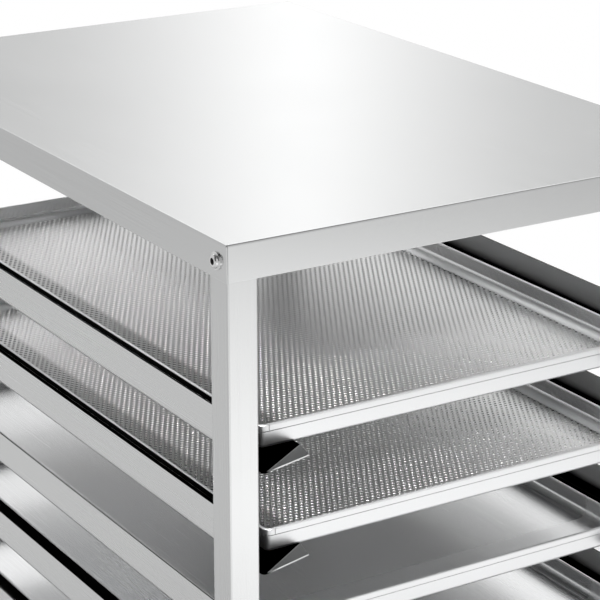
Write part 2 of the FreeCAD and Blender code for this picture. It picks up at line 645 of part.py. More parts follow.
# Brake pedals: a round shoe on a pin in the fork's ears, with a flat tread
def make_pedal():
    spot = PEDAL_Y, PEDAL_Z
    to_wheel = f"hypot(pedal_back - trail; {PEDAL_Z} - {WHEEL_Z})"
    shoe_ends = f"{LEG_MIDDLE_X} - {HUB_HALF}", f"{LEG_MIDDLE_X} + {HUB_HALF}"
    shoe_diameter = f"2 * ({to_wheel} - wheel_diameter / 2 - pedal_shoe_gap)"
    shoe = rod("pedal_shoe", "x", shoe_diameter, shoe_ends, spot)
    tread_x = f"{LEG_MIDDLE_X} - pedal_tread / 2", f"{LEG_MIDDLE_X} + pedal_tread / 2"
    tread_start = f"{PEDAL_Y} + pedal_ear + 2 * running_gap"
    tread_z = f"{PEDAL_Z} - pedal_thickness / 2", f"{PEDAL_Z} + pedal_thickness / 2"
    tread = box("pedal_tread_plate", tread_x, (tread_start, f"{PEDAL_Y} + pedal_reach"), tread_z)
    soft_tread = rounded("pedal_tread_soft", tread, value("pedal_round"), along("z"))
    neck = box("pedal_neck", shoe_ends, (PEDAL_Y, f"{tread_start} + pedal_round"), tread_z)
    through = f"{LEG_MIDDLE_X} - pedal_tread", f"{LEG_MIDDLE_X} + pedal_tread"
    bore = rod("pedal_bore", "x", "pedal_pin + 2 * hole_play", through, spot)
    left = node("brake_pedal_left", cut("pedal", fuse("pedal_whole", shoe, soft_tread, neck), bore))
    node("brake_pedal_right", mirror("pedal_right", left, "x"))


def make_pedal_pin():
    spot = PEDAL_Y, PEDAL_Z
    low, high = f"({LEG_MIDDLE_X} - {FORK_OUTSIDE})", f"({LEG_MIDDLE_X} + {FORK_OUTSIDE})"
    shaft = rod("pin_shaft", "x", "pedal_pin", (low, high), spot)
    head = rod("pin_head", "x", "pedal_pin_head", (f"{low} - pedal_pin_head_height", low), spot)
    end = rod("pin_end", "x", "pedal_pin_head", (high, f"{high} + pedal_pin_head_height"), spot)
    left = node("brake_pin_left", fuse("pin", shaft, head, end))
    node("brake_pin_right", mirror("pin_right", left, "x"))


# Castors: braked forks in front, plain forks behind, and the same wheel and axle at all four corners
def make_castors():
    corners = "front_left", "front_right", "rear_left", "rear_right"
    braked = make_fork("fork_braked", True)
    node("castor_fork_front_left", braked)
    node("castor_fork_front_right", mirror("fork_braked_right", braked, "x"))
    plain_back = mirror("fork_back", make_fork("fork_plain", False), "y")
    node("castor_fork_rear_left", plain_back)
    node("castor_fork_rear_right", mirror("fork_back_right", plain_back, "x"))
    pieces = {"castor_axle": make_axle("axle"), "wheel_hub": make_hub("hub"), "wheel_tyre": make_tyre("tyre")}
    for kind, piece in pieces.items():
        for corner, twin in zip(corners, four_corners(kind, piece)):
            node(f"{kind}_{corner}", twin)


make_worktop()
make_stiffeners()
make_legs()
make_leg_ends()
make_screws()
make_base()
make_rails()
make_rivets()
make_trays()
make_stems()
make_castors()
make_pedal()
make_pedal_pin()
doc.recompute()

failed = [obj.Name for obj in doc.Objects if {"Invalid", "Error"} & set(obj.State)]
for obj in NODES:
    if obj.Shape.isNull() or not obj.Shape.isValid() or not obj.Shape.Solids:
        failed.append(obj.Label)
if failed:
    raise RuntimeError(f"these objects failed: {failed}")

os.makedirs("parts", exist_ok=True)
for obj in NODES:
    obj.Shape.exportStep(f"parts/{obj.Label}.step")
print(len(NODES), "pieces written")
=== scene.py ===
import json
import math

import bmesh
import bpy
import numpy as np
from mathutils import Matrix, Vector


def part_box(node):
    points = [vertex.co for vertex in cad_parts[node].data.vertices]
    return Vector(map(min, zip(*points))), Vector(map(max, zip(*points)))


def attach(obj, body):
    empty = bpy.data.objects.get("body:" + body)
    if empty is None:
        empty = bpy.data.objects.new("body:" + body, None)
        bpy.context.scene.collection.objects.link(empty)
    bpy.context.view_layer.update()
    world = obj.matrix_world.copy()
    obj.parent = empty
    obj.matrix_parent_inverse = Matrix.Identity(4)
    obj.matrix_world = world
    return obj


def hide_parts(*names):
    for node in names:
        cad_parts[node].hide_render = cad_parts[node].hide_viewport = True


# Looks of a stainless tray rack trolley: worktop, tube frame, rails, trays and castors.
# All lengths are in metres, in the frame's own axes: +Z up, front at -Y.
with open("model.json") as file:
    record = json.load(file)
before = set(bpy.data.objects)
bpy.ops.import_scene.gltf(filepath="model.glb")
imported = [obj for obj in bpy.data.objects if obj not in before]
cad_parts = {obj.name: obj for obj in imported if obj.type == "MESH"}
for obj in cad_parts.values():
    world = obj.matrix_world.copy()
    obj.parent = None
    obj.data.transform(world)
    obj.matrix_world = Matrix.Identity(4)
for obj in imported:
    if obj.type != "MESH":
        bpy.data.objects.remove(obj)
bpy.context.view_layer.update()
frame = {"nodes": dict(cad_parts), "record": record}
NODES = frame["nodes"]
MM = 0.001
LEVELS = 7
PERFORATED_LEVELS = 1, 2
CORNERS = "front_left", "front_right", "rear_left", "rear_right"
UP, DOWN, LEFT, RIGHT, FRONT = (0, 0, 1), (0, 0, -1), (-1, 0, 0), (1, 0, 0), (0, -1, 0)

# Node graphs
NOISE_LOW = 0.3
NOISE_HIGH = 0.7


class Graph:
    """Adds nodes to a tree and joins them."""

    def __init__(self, tree):
        self.tree = tree

    def add(self, kind, inputs=(), **settings):
        node = self.tree.nodes.new(kind)
        for key, setting in settings.items():
            setattr(node, key, setting)
        for socket, feed in dict(inputs).items():
            self.feed(node.inputs[socket], feed)
        return node

    def feed(self, socket, feed):
        """Links a socket to another one, or sets its value."""
        if isinstance(feed, bpy.types.NodeSocket):
            self.tree.links.new(feed, socket)
        else:
            socket.default_value = feed

    def math(self, operation, first, second=0.0):
        return self.add("ShaderNodeMath", {0: first, 1: second}, operation=operation).outputs[0]

    def vector_value(self, operation, first, second=(0.0, 0.0, 0.0)):
        """A number worked out from vectors, such as their dot product."""
        node = self.add("ShaderNodeVectorMath", {0: first, 1: second}, operation=operation)
        return node.outputs["Value"]

    def coordinates(self):
        return self.add("ShaderNodeTexCoord").outputs["Object"]

    def axes(self, vector):
        """A vector's X, Y and Z."""
        return self.add("ShaderNodeSeparateXYZ", {0: vector}).outputs

    def noise(self, per_metre, detail=3.0, roughness=0.55):
        """Noise with so many grains to the metre on each axis."""
        stretch = self.add("ShaderNodeMapping", {"Vector": self.coordinates(), "Scale": per_metre})
        settings = {"Vector": stretch.outputs[0], "Scale": 1.0, "Detail": detail, "Roughness": roughness}
        return self.add("ShaderNodeTexNoise", settings).outputs["Fac"]

    def span(self, source, low, high, start=NOISE_LOW, end=NOISE_HIGH, soft=False):
        """The source, from start to end, spread over a range."""
        settings = {"Value": source, "From Min": start, "From Max": end, "To Min": low, "To Max": high}
        kind = "SMOOTHSTEP" if soft else "LINEAR"
        return self.add("ShaderNodeMapRange", settings, interpolation_type=kind).outputs[0]

    def tint(self, share, first, second):
        """A colour between two, by share."""
        mix = self.add("ShaderNodeMix", {0: share}, data_type="RGBA")
        for socket, tone in ((mix.inputs[6], first), (mix.inputs[7], second)):
            self.feed(socket, (*tone, 1.0) if isinstance(tone, tuple) else tone)
        return mix.outputs[2]

    def bump(self, height, distance):
        settings = {"Height": height, "Distance": distance, "Strength": 1.0}
        return self.add("ShaderNodeBump", settings).outputs[0]


def new_material(name):
    """A material with its node graph and its shader."""
    made = bpy.data.materials.new(name)
    made.use_nodes = True
    return made, Graph(made.node_tree), made.node_tree.nodes["Principled BSDF"]


def shaded(colour, factor):
    return tuple(channel * factor for channel in colour)


# Kinds of material, with grains to the metre
FINE_GRAIN = 1500.0
LONG_GRAIN = 7.0
SMUDGE_GRAIN = 5.0
STREAK_TONE = 0.95
STREAK_DEPTH = 0.01 * MM
STREAK_SWING = 0.035
CLOUD_GRAIN = 60.0
CLOUD_TONE = 0.86
CLOUD_ROUGHER = 0.08
CLOUD_SMOOTHER = 0.04
SPARKLE_GRAIN = 2600.0
SPARKLE_DEPTH = 0.02 * MM
GRIT_GRAIN = 1400.0
GRIT_DEPTH = 0.06 * MM
TYRE_GRIT_DEPTH = 0.1 * MM
DUST_GRAIN = 35.0
DUST_START = 0.35
DUST_END = 0.75
DUST_TONE = 1.35
DUST_ROUGHER = 0.08
DUST_SMOOTHER = 0.06
BLACK = (0.0, 0.0, 0.0)


def grain_along(axis):
    """Grains per metre on each axis for a surface brushed along one."""
    return tuple(LONG_GRAIN if letter == axis else FINE_GRAIN for letter in "xyz")


def make_metal(name, grain, colour, roughness, shade=None, rougher=None, dulled=False,
               depth=STREAK_DEPTH, swing=STREAK_SWING):
    """Brushed metal: fine streaks in colour, roughness and height, with broad soft smudges.

    A shade is a function that gives the share of the tone that is left at each place, as painted shade, and
    rougher one that gives the roughness to add there. Metal set to lose its shine doesn't shine where its
    painted shade is dark."""
    made, graph, shader = new_material(name)
    streaks = graph.noise(grain)
    smudges = graph.noise((SMUDGE_GRAIN,) * 3, detail=4.0)
    tone = graph.tint(graph.span(streaks, 0.0, 1.0), shaded(colour, STREAK_TONE), colour)
    left = 1.0
    if shade:
        left = shade(graph)
        tone = graph.tint(left, BLACK, tone)
    graph.feed(shader.inputs["Base Color"], tone)
    graph.feed(shader.inputs["Metallic"], left if dulled else 1.0)
    if dulled:
        shader.inputs["Specular IOR Level"].default_value = 0.0
    rough = graph.math("ADD", graph.span(streaks, roughness - swing, roughness + swing),
                       graph.span(smudges, -swing / 2, swing))
    if rougher:
        rough = graph.math("ADD", rough, rougher(graph))
    graph.feed(shader.inputs["Roughness"], rough)
    graph.feed(shader.inputs["Normal"], graph.bump(streaks, depth))
    return made


def make_plated(name, colour, roughness):
    """Plated steel: cloudy tone with a fine sparkle."""
    made, graph, shader = new_material(name)
    clouds = graph.noise((CLOUD_GRAIN,) * 3, detail=5.0, roughness=0.65)
    sparkle = graph.noise((SPARKLE_GRAIN,) * 3, detail=1.0)
    tone = graph.tint(graph.span(clouds, 0.0, 1.0), shaded(colour, CLOUD_TONE), colour)
    rough = graph.span(clouds, roughness + CLOUD_ROUGHER, roughness - CLOUD_SMOOTHER)
    graph.feed(shader.inputs["Base Color"], tone)
    graph.feed(shader.inputs["Roughness"], rough)
    graph.feed(shader.inputs["Normal"], graph.bump(sparkle, SPARKLE_DEPTH))
    shader.inputs["Metallic"].default_value = 1.0
    return made


def make_moulded(name, colour, roughness, depth=GRIT_DEPTH):
    """Moulded plastic or rubber: fine grit and a faint dusty variation."""
    made, graph, shader = new_material(name)
    grit = graph.noise((GRIT_GRAIN,) * 3, detail=2.0)
    dust = graph.noise((DUST_GRAIN,) * 3, detail=5.0, roughness=0.7)
    share = graph.span(dust, 0.0, 1.0, DUST_START, DUST_END)
    graph.feed(shader.inputs["Base Color"], graph.tint(share, colour, shaded(colour, DUST_TONE)))
    rough = graph.span(dust, roughness - DUST_SMOOTHER, roughness + DUST_ROUGHER)
    graph.feed(shader.inputs["Roughness"], rough)
    graph.feed(shader.inputs["Normal"], graph.bump(grit, depth))
    return made


# Tone and roughness by the side that a face is on
FACING_START = 0.35
FACING_END = 0.75
DULL_SIDE = 0.45


def share_facing(graph, sides):
    """1 where a face looks towards one of the sides, and 0 where it looks away from all."""
    facing = graph.add("ShaderNodeTexCoord").outputs["Normal"]
    share = 0.0
    for side in sides:
        share = graph.math("MAXIMUM", graph.vector_value("DOT_PRODUCT", facing, side), share)
    return graph.span(share, 0.0, 1.0, FACING_START, FACING_END)


def rough_sides(sides, extra):
    """Roughness that faces on some sides have on top of the rest's."""
    def added(graph):
        return graph.math("MULTIPLY", share_facing(graph, sides), extra)
    return added


# Rails: painted shade in the gap beside the trays, and a painted highlight along the flange's crease
RAIL_SHEET = 1.2 * MM
PAINTED_GAP_SHADE = 0.0
GAP_DARK = 10.0 * MM
GAP_LIGHT = 18.0 * MM
# Painted highlight along the crease of the flange's bent-down front corner
CREASE_PAINTED_HIGHLIGHT = 0.5
CREASE_WIDTH = 0.7 * MM
END_FADE = 12.0 * MM
# Lighter painted shade on the flange's bent-down front corner
PAINTED_RAMP_SHADE = 0.2
RAMP_START = 8.0 * MM
RAMP_SLOPE = 0.652
RAMP_FADE_START = -0.2 * MM
RAMP_FADE_END = 0.4 * MM
TRAY_SIDE_FADE = 1.5 * MM
TRAY_END_FADE = 6.0 * MM
COVER_START = 20.0 * MM
COVER_FADE = 20.0 * MM


def inner_painted_shade(graph, axes):
    """Painted shade on a rail's upright side: dark low down, beside its tray."""
    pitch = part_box("rail_left_1")[0].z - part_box("rail_left_2")[0].z
    first_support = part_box(f"rail_left_{LEVELS}")[0].z + RAIL_SHEET
    rise = graph.math("FLOORED_MODULO", graph.math("SUBTRACT", axes["Z"], first_support), pitch)
    return graph.span(rise, PAINTED_GAP_SHADE, 1.0, GAP_DARK, GAP_LIGHT, soft=True)


def flange_painted_shade(graph, axes, inward):
    """Painted shade on a rail's flange: dark but under the tray, lighter on its bent-down front corner,
    with a painted highlight along that corner's crease.
    """
    rail_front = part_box("rail_left_1")[0].y
    tray_low, tray_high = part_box("tray_1")
    bend = graph.math("MULTIPLY", inward, RAMP_SLOPE)
    ahead = graph.math("SUBTRACT", bend, graph.math("SUBTRACT", axes["Y"], rail_front))
    ramp = graph.span(ahead, PAINTED_GAP_SHADE, PAINTED_RAMP_SHADE, RAMP_FADE_START, RAMP_FADE_END)
    crease_highlight = graph.span(graph.math("ABSOLUTE", ahead), CREASE_PAINTED_HIGHLIGHT, 0.0, 0.0, CREASE_WIDTH)
    aside = graph.math("ABSOLUTE", axes["X"])
    beneath = graph.span(aside, 1.0, 0.0, tray_high.x, tray_high.x + TRAY_SIDE_FADE)
    cover = tray_low.y + COVER_START
    behind = graph.span(axes["Y"], 0.0, 1.0, cover, cover + COVER_FADE)
    corner = graph.math("MAXIMUM", ramp, crease_highlight)
    return graph.math("MAXIMUM", corner, graph.math("MULTIPLY", beneath, behind))


def rail_shade(inner_side):
    """Painted shade on a rail's inner side, its flange and its front end; light again past the tray's rear.
    """
    def shade(graph):
        axes = graph.axes(graph.coordinates())
        rail_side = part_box("rail_left_1")[0].x
        tray_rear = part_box("tray_1")[1].y
        inward = graph.math("SUBTRACT", -rail_side - RAMP_START, graph.math("ABSOLUTE", axes["X"]))
        past = graph.span(axes["Y"], 0.0, 1.0, tray_rear, tray_rear + TRAY_END_FADE)
        painted_shades = {
            inner_side: graph.math("MAXIMUM", inner_painted_shade(graph, axes), past),
            UP: graph.math("MAXIMUM", flange_painted_shade(graph, axes, inward), past),
            FRONT: graph.span(inward, PAINTED_GAP_SHADE, 1.0, 0.0, END_FADE),
        }
        left = 1.0
        for side, tone in painted_shades.items():
            facing = share_facing(graph, (side,))
            left = graph.math("MULTIPLY", left, graph.span(facing, 1.0, tone, 0.0, 1.0))
        return left
    return shade


# Trays: dull front and floor, and a perforated sheet painted darker than its holes' walls, as painted shade
TRAY_FRONT_END = -250.0 * MM
TRAY_FRONT_FADE = 10.0 * MM
TRAY_FRONT_ROUGHER = 0.19
PLAIN_FLOOR_ROUGHER = 0.12
FLOOR_MARGIN_ROUGHER = 0.42
SHEET_SMOOTHER = 0.25
SHEET_PAINTED_SHADE = 0.62
GAP_HOLE_PAINTED_SHADE = 0.03
GAP_SHEET_PAINTED_SHADE = 0.46
LEFT_GAP_END = -141.0 * MM
LEFT_GAP_FADE = 6.0 * MM
RIGHT_GAP_START = 169.5 * MM
RIGHT_GAP_FADE = 1.0 * MM


def rough_tray(floor_extra):
    """A tray's front and its floor are duller than its other walls."""
    def added(graph):
        place = graph.axes(graph.coordinates())["Y"]
        front_end = TRAY_FRONT_END + TRAY_FRONT_FADE
        front = graph.span(place, TRAY_FRONT_ROUGHER, 0.0, TRAY_FRONT_END, front_end)
        level = graph.math("MULTIPLY", share_facing(graph, (UP, DOWN)), floor_extra)
        return graph.math("MAXIMUM", front, level)
    return added


def hole_shade(graph):
    """A perforated floor's painted shade: its sheet is painted darker than the walls of its holes.

    Holes beside the left rail, and the last ones above the right rail, are painted dark as the shade of the
    gap they look into, and so is the sheet beside the left rail."""
    place = graph.axes(graph.coordinates())["X"]
    left = graph.span(place, GAP_HOLE_PAINTED_SHADE, 1.0, LEFT_GAP_END - LEFT_GAP_FADE, LEFT_GAP_END)
    right = graph.span(place, 1.0, GAP_HOLE_PAINTED_SHADE, RIGHT_GAP_START, RIGHT_GAP_START + RIGHT_GAP_FADE)
    hole = graph.math("MULTIPLY", left, right)
    sheet = graph.span(left, GAP_SHEET_PAINTED_SHADE, SHEET_PAINTED_SHADE, GAP_HOLE_PAINTED_SHADE, 1.0)
    return graph.span(share_facing(graph, (UP, DOWN)), hole, sheet, 0.0, 1.0)


# Finishes by slot, and finer ones for sides and pieces
STEEL = (0.66, 0.665, 0.665)
RAIL_STEEL = (0.685, 0.69, 0.69)
ALUMINIUM = (0.74, 0.745, 0.75)
# Painted light: the walls of the floor's holes are painted brighter than the rest of the aluminium
HOLE_WALL_PAINTED_LIGHT = (0.98, 0.98, 0.98)
ROLLED = {"depth": 0.002 * MM, "swing": 0.02}
TRAY_WALLS = {"colour": ALUMINIUM, "roughness": 0.13, **ROLLED}
# The rails lose their shine where their painted shade is dark, which paints them black there
RAILS = {"colour": RAIL_STEEL, "roughness": 0.25, "dulled": True}
METALS = {
    "worktop_steel": {"colour": STEEL, "roughness": 0.20, "rougher": rough_sides((DOWN,), DULL_SIDE)},
    "frame_steel": {"colour": STEEL, "roughness": 0.24},
    # Each side's rails carry painted shade on their inner side, beside the trays
    "rail_steel_left": {"shade": rail_shade(RIGHT), "rougher": rough_sides((RIGHT,), DULL_SIDE), **RAILS},
    "rail_steel_right": {"shade": rail_shade(LEFT), "rougher": rough_sides((LEFT,), DULL_SIDE), **RAILS},
    "tray_aluminium": {"rougher": rough_tray(PLAIN_FLOOR_ROUGHER), **TRAY_WALLS},
    "tray_frame": {"rougher": rough_tray(FLOOR_MARGIN_ROUGHER), **TRAY_WALLS},
    # Painted shade on the perforated sheet and its gap holes, painted light on its holes' walls
    "tray_floor": {"colour": HOLE_WALL_PAINTED_LIGHT, "roughness": 0.55, "shade": hole_shade,
                   "rougher": rough_sides((UP, DOWN), -SHEET_SMOOTHER), **ROLLED},
}
PLAIN_MATERIALS = {
    "fastener_steel": make_plated("fastener_steel", colour=(0.80, 0.80, 0.80), roughness=0.09),
    "castor_zinc": make_plated("castor_zinc", colour=(0.62, 0.64, 0.67), roughness=0.30),
    "hub_plastic": make_moulded("hub_plastic", colour=(0.33, 0.34, 0.35), roughness=0.45),
    "tyre_rubber": make_moulded("tyre_rubber", colour=(0.12, 0.125, 0.13), roughness=0.62,
                                depth=TYRE_GRIT_DEPTH),
    "pedal_plastic": make_moulded("pedal_plastic", colour=(0.025, 0.025, 0.028), roughness=0.42),
    "insert_plastic": make_moulded("insert_plastic", colour=(0.022, 0.022, 0.022), roughness=0.45),
}
made_metals = {}


def finish_for(slot, axis="y"):
    """The material of a slot; a metal's grain runs along the axis."""
    if slot in PLAIN_MATERIALS:
        return PLAIN_MATERIALS[slot]
    if (slot, axis) not in made_metals:
        made_metals[slot, axis] = make_metal(f"{slot}_{axis}", grain_along(axis), **METALS[slot])
    return made_metals[slot, axis]


def longest_axis(node):
    """The letter of the axis along which a node is longest."""
    low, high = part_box(node)
    lengths = high - low
    return "xyz"[max(range(3), key=lambda index: lengths[index])]


# Smooth shading with sharp edges kept
SHARP_ANGLE = math.radians(28)
WELD_DISTANCE = 0.001 * MM
FLAT_ANGLE = math.radians(0.5)
BEVEL_ANGLE = math.radians(40)
BEVEL_SEGMENTS = 2


def make_smoothing():
    """A modifier's node group that welds a mesh and shades it smooth up to the sharp angle."""
    tree = bpy.data.node_groups.new("smooth_by_angle", "GeometryNodeTree")
    tree.interface.new_socket("Geometry", in_out="INPUT", socket_type="NodeSocketGeometry")
    tree.interface.new_socket("Geometry", in_out="OUTPUT", socket_type="NodeSocketGeometry")
    graph = Graph(tree)
    start = graph.add("NodeGroupInput")
    joined = {"Geometry": start.outputs[0], "Distance": WELD_DISTANCE}
    weld = graph.add("GeometryNodeMergeByDistance", joined)
    smooth = graph.add("GeometryNodeSetShadeSmooth", {0: weld.outputs[0]}, domain="FACE")
    angle = graph.add("GeometryNodeInputMeshEdgeAngle").outputs["Unsigned Angle"]
    sharp = graph.add("FunctionNodeCompare", {0: angle, 1: SHARP_ANGLE}, operation="GREATER_THAN")
    edges = {0: smooth.outputs[0], 1: sharp.outputs[0]}
    creased = graph.add("GeometryNodeSetShadeSmooth", edges, domain="EDGE")
    creased.inputs["Shade Smooth"].default_value = False
    graph.add("NodeGroupOutput", {0: creased.outputs[0]})
    return tree


SMOOTHING = make_smoothing()


def soften(obj, bevel=0.0):
    """Breaks the sharp edges of an object by modifiers and shades it smooth."""
    if bevel:
        weld = obj.modifiers.new("weld", "WELD")
        weld.merge_threshold = WELD_DISTANCE
        flat = obj.modifiers.new("flatten", "DECIMATE")
        flat.decimate_type = "DISSOLVE"
        flat.angle_limit = FLAT_ANGLE
        edge = obj.modifiers.new("edges", "BEVEL")
        edge.width = bevel
        edge.segments = BEVEL_SEGMENTS
        edge.limit_method = "ANGLE"
        edge.angle_limit = BEVEL_ANGLE
    smooth = obj.modifiers.new("smooth", "NODES")
    smooth.node_group = SMOOTHING
    level = obj.modifiers.new("level", "WEIGHTED_NORMAL")
    level.keep_sharp = True
    return obj


# New pieces
CORNER_STEPS = 6
INNER_CORNER = 3.0 * MM
SLOT_SLOPE = 0.04 * MM


def add_piece(name, mesh, body, slot, axis="y", replaced=(), finish=None):
    """Puts a mesh in the scene as a piece of a body, with its slot's finish or one of its own."""
    obj = bpy.data.objects.new(name, mesh)
    bpy.context.scene.collection.objects.link(obj)
    mesh.materials.clear()
    mesh.materials.append(finish_for(finish or slot, axis))
    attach(obj, body)
    if replaced:
        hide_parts(*replaced)
    return obj


def mesh_from(name, build):
    """A mesh made by a function that fills a bmesh, with its faces turned outwards."""
    shape = bmesh.new()
    build(shape)
    bmesh.ops.recalc_face_normals(shape, faces=shape.faces)
    mesh = bpy.data.meshes.new(name)
    shape.to_mesh(mesh)
    shape.free()
    return mesh


class Loop:
    """Rings round a rectangle with rounded corners, with slots across its front and back sides."""

    def __init__(self, centre, half, radius, slots):
        self.centre = centre
        self.half = half
        self.radius = radius
        self.slots = slots

    def ring(self, inset, slot_inset):
        """Points of one ring, anticlockwise from the front left corner; slots lie at their own inset."""
        half_x, half_y = self.half[0] - inset, self.half[1] - inset
        radius = max(self.radius - inset, min(self.radius, INNER_CORNER))
        points = []
        for quarter, (side_x, side_y) in enumerate(((-1, -1), (1, -1), (1, 1), (-1, 1))):
            start = math.pi * (1 + quarter / 2)
            for step in range(CORNER_STEPS + 1):
                angle = start + math.pi / 2 * step / CORNER_STEPS
                x = side_x * (half_x - radius) + radius * math.cos(angle)
                y = side_y * (half_y - radius) + radius * math.sin(angle)
                points.append((x, y))
            if quarter in (0, 2):
                deep = self.half[1] - max(inset, slot_inset)
                for x, inside in self.slots:
                    points.append((-side_x * x, side_y * (deep if inside else half_y)))
        return [(self.centre[0] + x, self.centre[1] + y) for x, y in points]

    def corner_middles(self):
        """Where each corner's middle point stands in a ring."""
        corner, slots = CORNER_STEPS + 1, len(self.slots)
        starts = 0, corner + slots, 2 * corner + slots, 3 * corner + 2 * slots
        return [start + CORNER_STEPS // 2 for start in starts]


def slot_points(distance, half_x, width):
    """Where the slots of a side start and end along it, one at a distance from each of its ends."""
    points = []
    for place in (half_x - distance, distance - half_x):
        near, far = place - width / 2, place + width / 2
        points += [(near - SLOT_SLOPE, False), (near, True), (far, True), (far + SLOT_SLOPE, False)]
    return sorted(points)


def sweep(shape, loop, profile):
    """Walls through the rings of a profile of (inset, height, slot inset); gives the rings."""
    rings = []
    for inset, height, slot_inset in profile:
        rings.append([shape.verts.new((x, y, height)) for x, y in loop.ring(inset, slot_inset)])
    for low, high in zip(rings, rings[1:]):
        for index in range(len(low)):
            after = (index + 1) % len(low)
            shape.faces.new((low[index], low[after], high[after], high[index]))
    return rings


def arc(centre, radius, start, end, steps):
    """Points of an arc in a profile, angles in degrees."""
    angles = [math.radians(start + (end - start) * step / steps) for step in range(steps + 1)]
    return [(centre[0] + radius * math.cos(a), centre[1] + radius * math.sin(a)) for a in angles]


# Trays: hemmed rim, rounded foot and a floor that is plain or perforated
TRAY_SHEET = 1.0 * MM
TRAY_WALL = 1.5 * MM
FOOT_SPREAD = 8.4 * MM
FOOT_ANGLE = 76.0
FOOT_STEPS = 8
FOOT_ROUND = 2.0 * MM
FOOT_ROUND_STEPS = 5
TRAY_EDGE = 2.5 * MM
TRAY_EDGE_STEPS = 5
TRAY_CORNER = 6.2 * MM
RIM_OUT = 1.2 * MM
RIM_HEIGHT = 5.5 * MM
RIM_ROUND = 1.3 * MM
RIM_STEPS = 4
HEM_EDGE = 0.3 * MM
HEM_EDGE_STEPS = 3
HEM_GROOVE = 1.0 * MM
HEM_GROOVE_DEPTH = 0.6 * MM
HEM_GROOVE_SLOPE = 0.2 * MM
HEM_SEAM = 8.5 * MM
HEM_SEAM_WIDTH = 0.5 * MM


def tray_profile(bottom, top):
    """From the floor's upper face over the rim and down to the floor's under face."""
    inner = RIM_OUT + TRAY_WALL
    turn = math.radians(FOOT_ANGLE)
    foot = inner + FOOT_ROUND * (1 - math.sin(turn))
    radius = (FOOT_SPREAD - foot + inner) / math.sin(turn)
    foot_end = 270 - FOOT_ANGLE
    inside = arc((inner + FOOT_SPREAD, bottom + TRAY_SHEET + radius), radius, 270, foot_end, FOOT_STEPS)
    corner = inside[-1][1] + FOOT_ROUND * math.cos(turn)
    inside += arc((inner + FOOT_ROUND, corner), FOOT_ROUND, foot_end, 180, FOOT_ROUND_STEPS)[1:]
    over = arc((inner - RIM_ROUND, top - RIM_ROUND), RIM_ROUND, 0, 90, RIM_STEPS)
    over += arc((RIM_ROUND, top - RIM_ROUND), RIM_ROUND, 90, 180, RIM_STEPS)
    hem_bottom = top - RIM_HEIGHT
    hem = arc((HEM_EDGE, hem_bottom + HEM_EDGE), HEM_EDGE, 180, 270, HEM_EDGE_STEPS)
    groove = RIM_OUT + HEM_GROOVE_DEPTH
    groove_bottom = hem_bottom - HEM_GROOVE
    hem += [(groove, hem_bottom), (groove, groove_bottom + HEM_GROOVE_SLOPE), (RIM_OUT, groove_bottom)]
    outside = arc((RIM_OUT + TRAY_EDGE, bottom + TRAY_EDGE), TRAY_EDGE, 180, 270, TRAY_EDGE_STEPS)
    return [(inset, height, RIM_OUT) for inset, height in inside + over + hem + outside]


def frame_floor(shape, loop, ring, corners, height):
    """Joins a floor's edge to the rectangle that its perforated panels fill."""
    square = [shape.verts.new((x, y, height)) for x, y in corners]
    middles = loop.corner_middles()
    for side in range(4):
        start, end = middles[side], middles[(side + 1) % 4]
        edge = ring[start:end + 1] if end > start else ring[start:] + ring[:end + 1]
        shape.faces.new(edge + [square[(side + 1) % 4], square[side]])
    return square


def make_tray(level):
    """A tray's shell, and for the upper levels the panels of its perforated floor."""
    node = f"tray_{level}"
    low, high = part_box(node)
    half = (high - low) / 2
    middle = (low + high) / 2
    loop = Loop(middle, half, TRAY_CORNER, slot_points(HEM_SEAM, half.x, HEM_SEAM_WIDTH))
    field_low, field_high = hole_field(middle)

    def build(shape):
        rings = sweep(shape, loop, tray_profile(low.z, high.z))
        if level not in PERFORATED_LEVELS:
            shape.faces.new(rings[0])
            shape.faces.new(rings[-1])
            return
        corners = (field_low, (field_high[0], field_low[1]), field_high, (field_low[0], field_high[1]))
        upper = frame_floor(shape, loop, rings[0], corners, low.z + TRAY_SHEET)
        lower = frame_floor(shape, loop, rings[-1], corners, low.z)
        for side in range(4):
            after = (side + 1) % 4
            shape.faces.new((upper[side], upper[after], lower[after], lower[side]))

    finish = "tray_frame" if level in PERFORATED_LEVELS else "tray_aluminium"
    mesh = mesh_from(f"{node}_shell", build)
    pieces = [soften(add_piece(f"{node}_shell", mesh, node, "tray_aluminium", "y", [node], finish))]
    if level in PERFORATED_LEVELS:
        rows = HOLE_ROWS // FLOOR_PANELS
        for panel in range(FLOOR_PANELS):
            name = f"{node}_floor_{panel + 1}"
            mesh = make_panel(name, field_low, panel * rows, rows, low.z)
            pieces.append(add_piece(name, mesh, node, "tray_aluminium", finish="tray_floor"))
    return pieces


# Perforated floors: staggered round holes in a grid of half-pitch columns
HOLE_PITCH = 5.0 * MM
ROW_PITCH = HOLE_PITCH * math.sqrt(3) / 2
HOLE_DIAMETER = 3.0 * MM
HOLE_SIDES = 8
HOLES_ACROSS = 70
HOLE_ROWS = 135
GRID_COLUMNS = 2 * HOLES_ACROSS + 1
FLOOR_PANELS = 3
# The points of a hole that face each of the six sides of its cell
HOLE_PARTS = (7, 0, 1), (1, 2), (2, 3), (3, 4, 5), (5, 6), (6, 7)


def hole_field(middle):
    """Corners of a floor's perforated rectangle."""
    half_x = HOLES_ACROSS * HOLE_PITCH / 2
    half_y = HOLE_ROWS * ROW_PITCH / 2
    return (middle.x - half_x, middle.y - half_y), (middle.x + half_x, middle.y + half_y)


def panel_cells(first_row, rows):
    """Row and column where each hole's cell starts, and where plain cells fill the ends of odd rows."""
    starts = []
    fillers = []
    for row in range(rows):
        odd = (first_row + row) % 2
        starts += [(row, column) for column in range(odd, GRID_COLUMNS - 2, 2)]
        if odd:
            fillers += [(row, 0), (row, GRID_COLUMNS - 2)]
    return np.array(starts), fillers


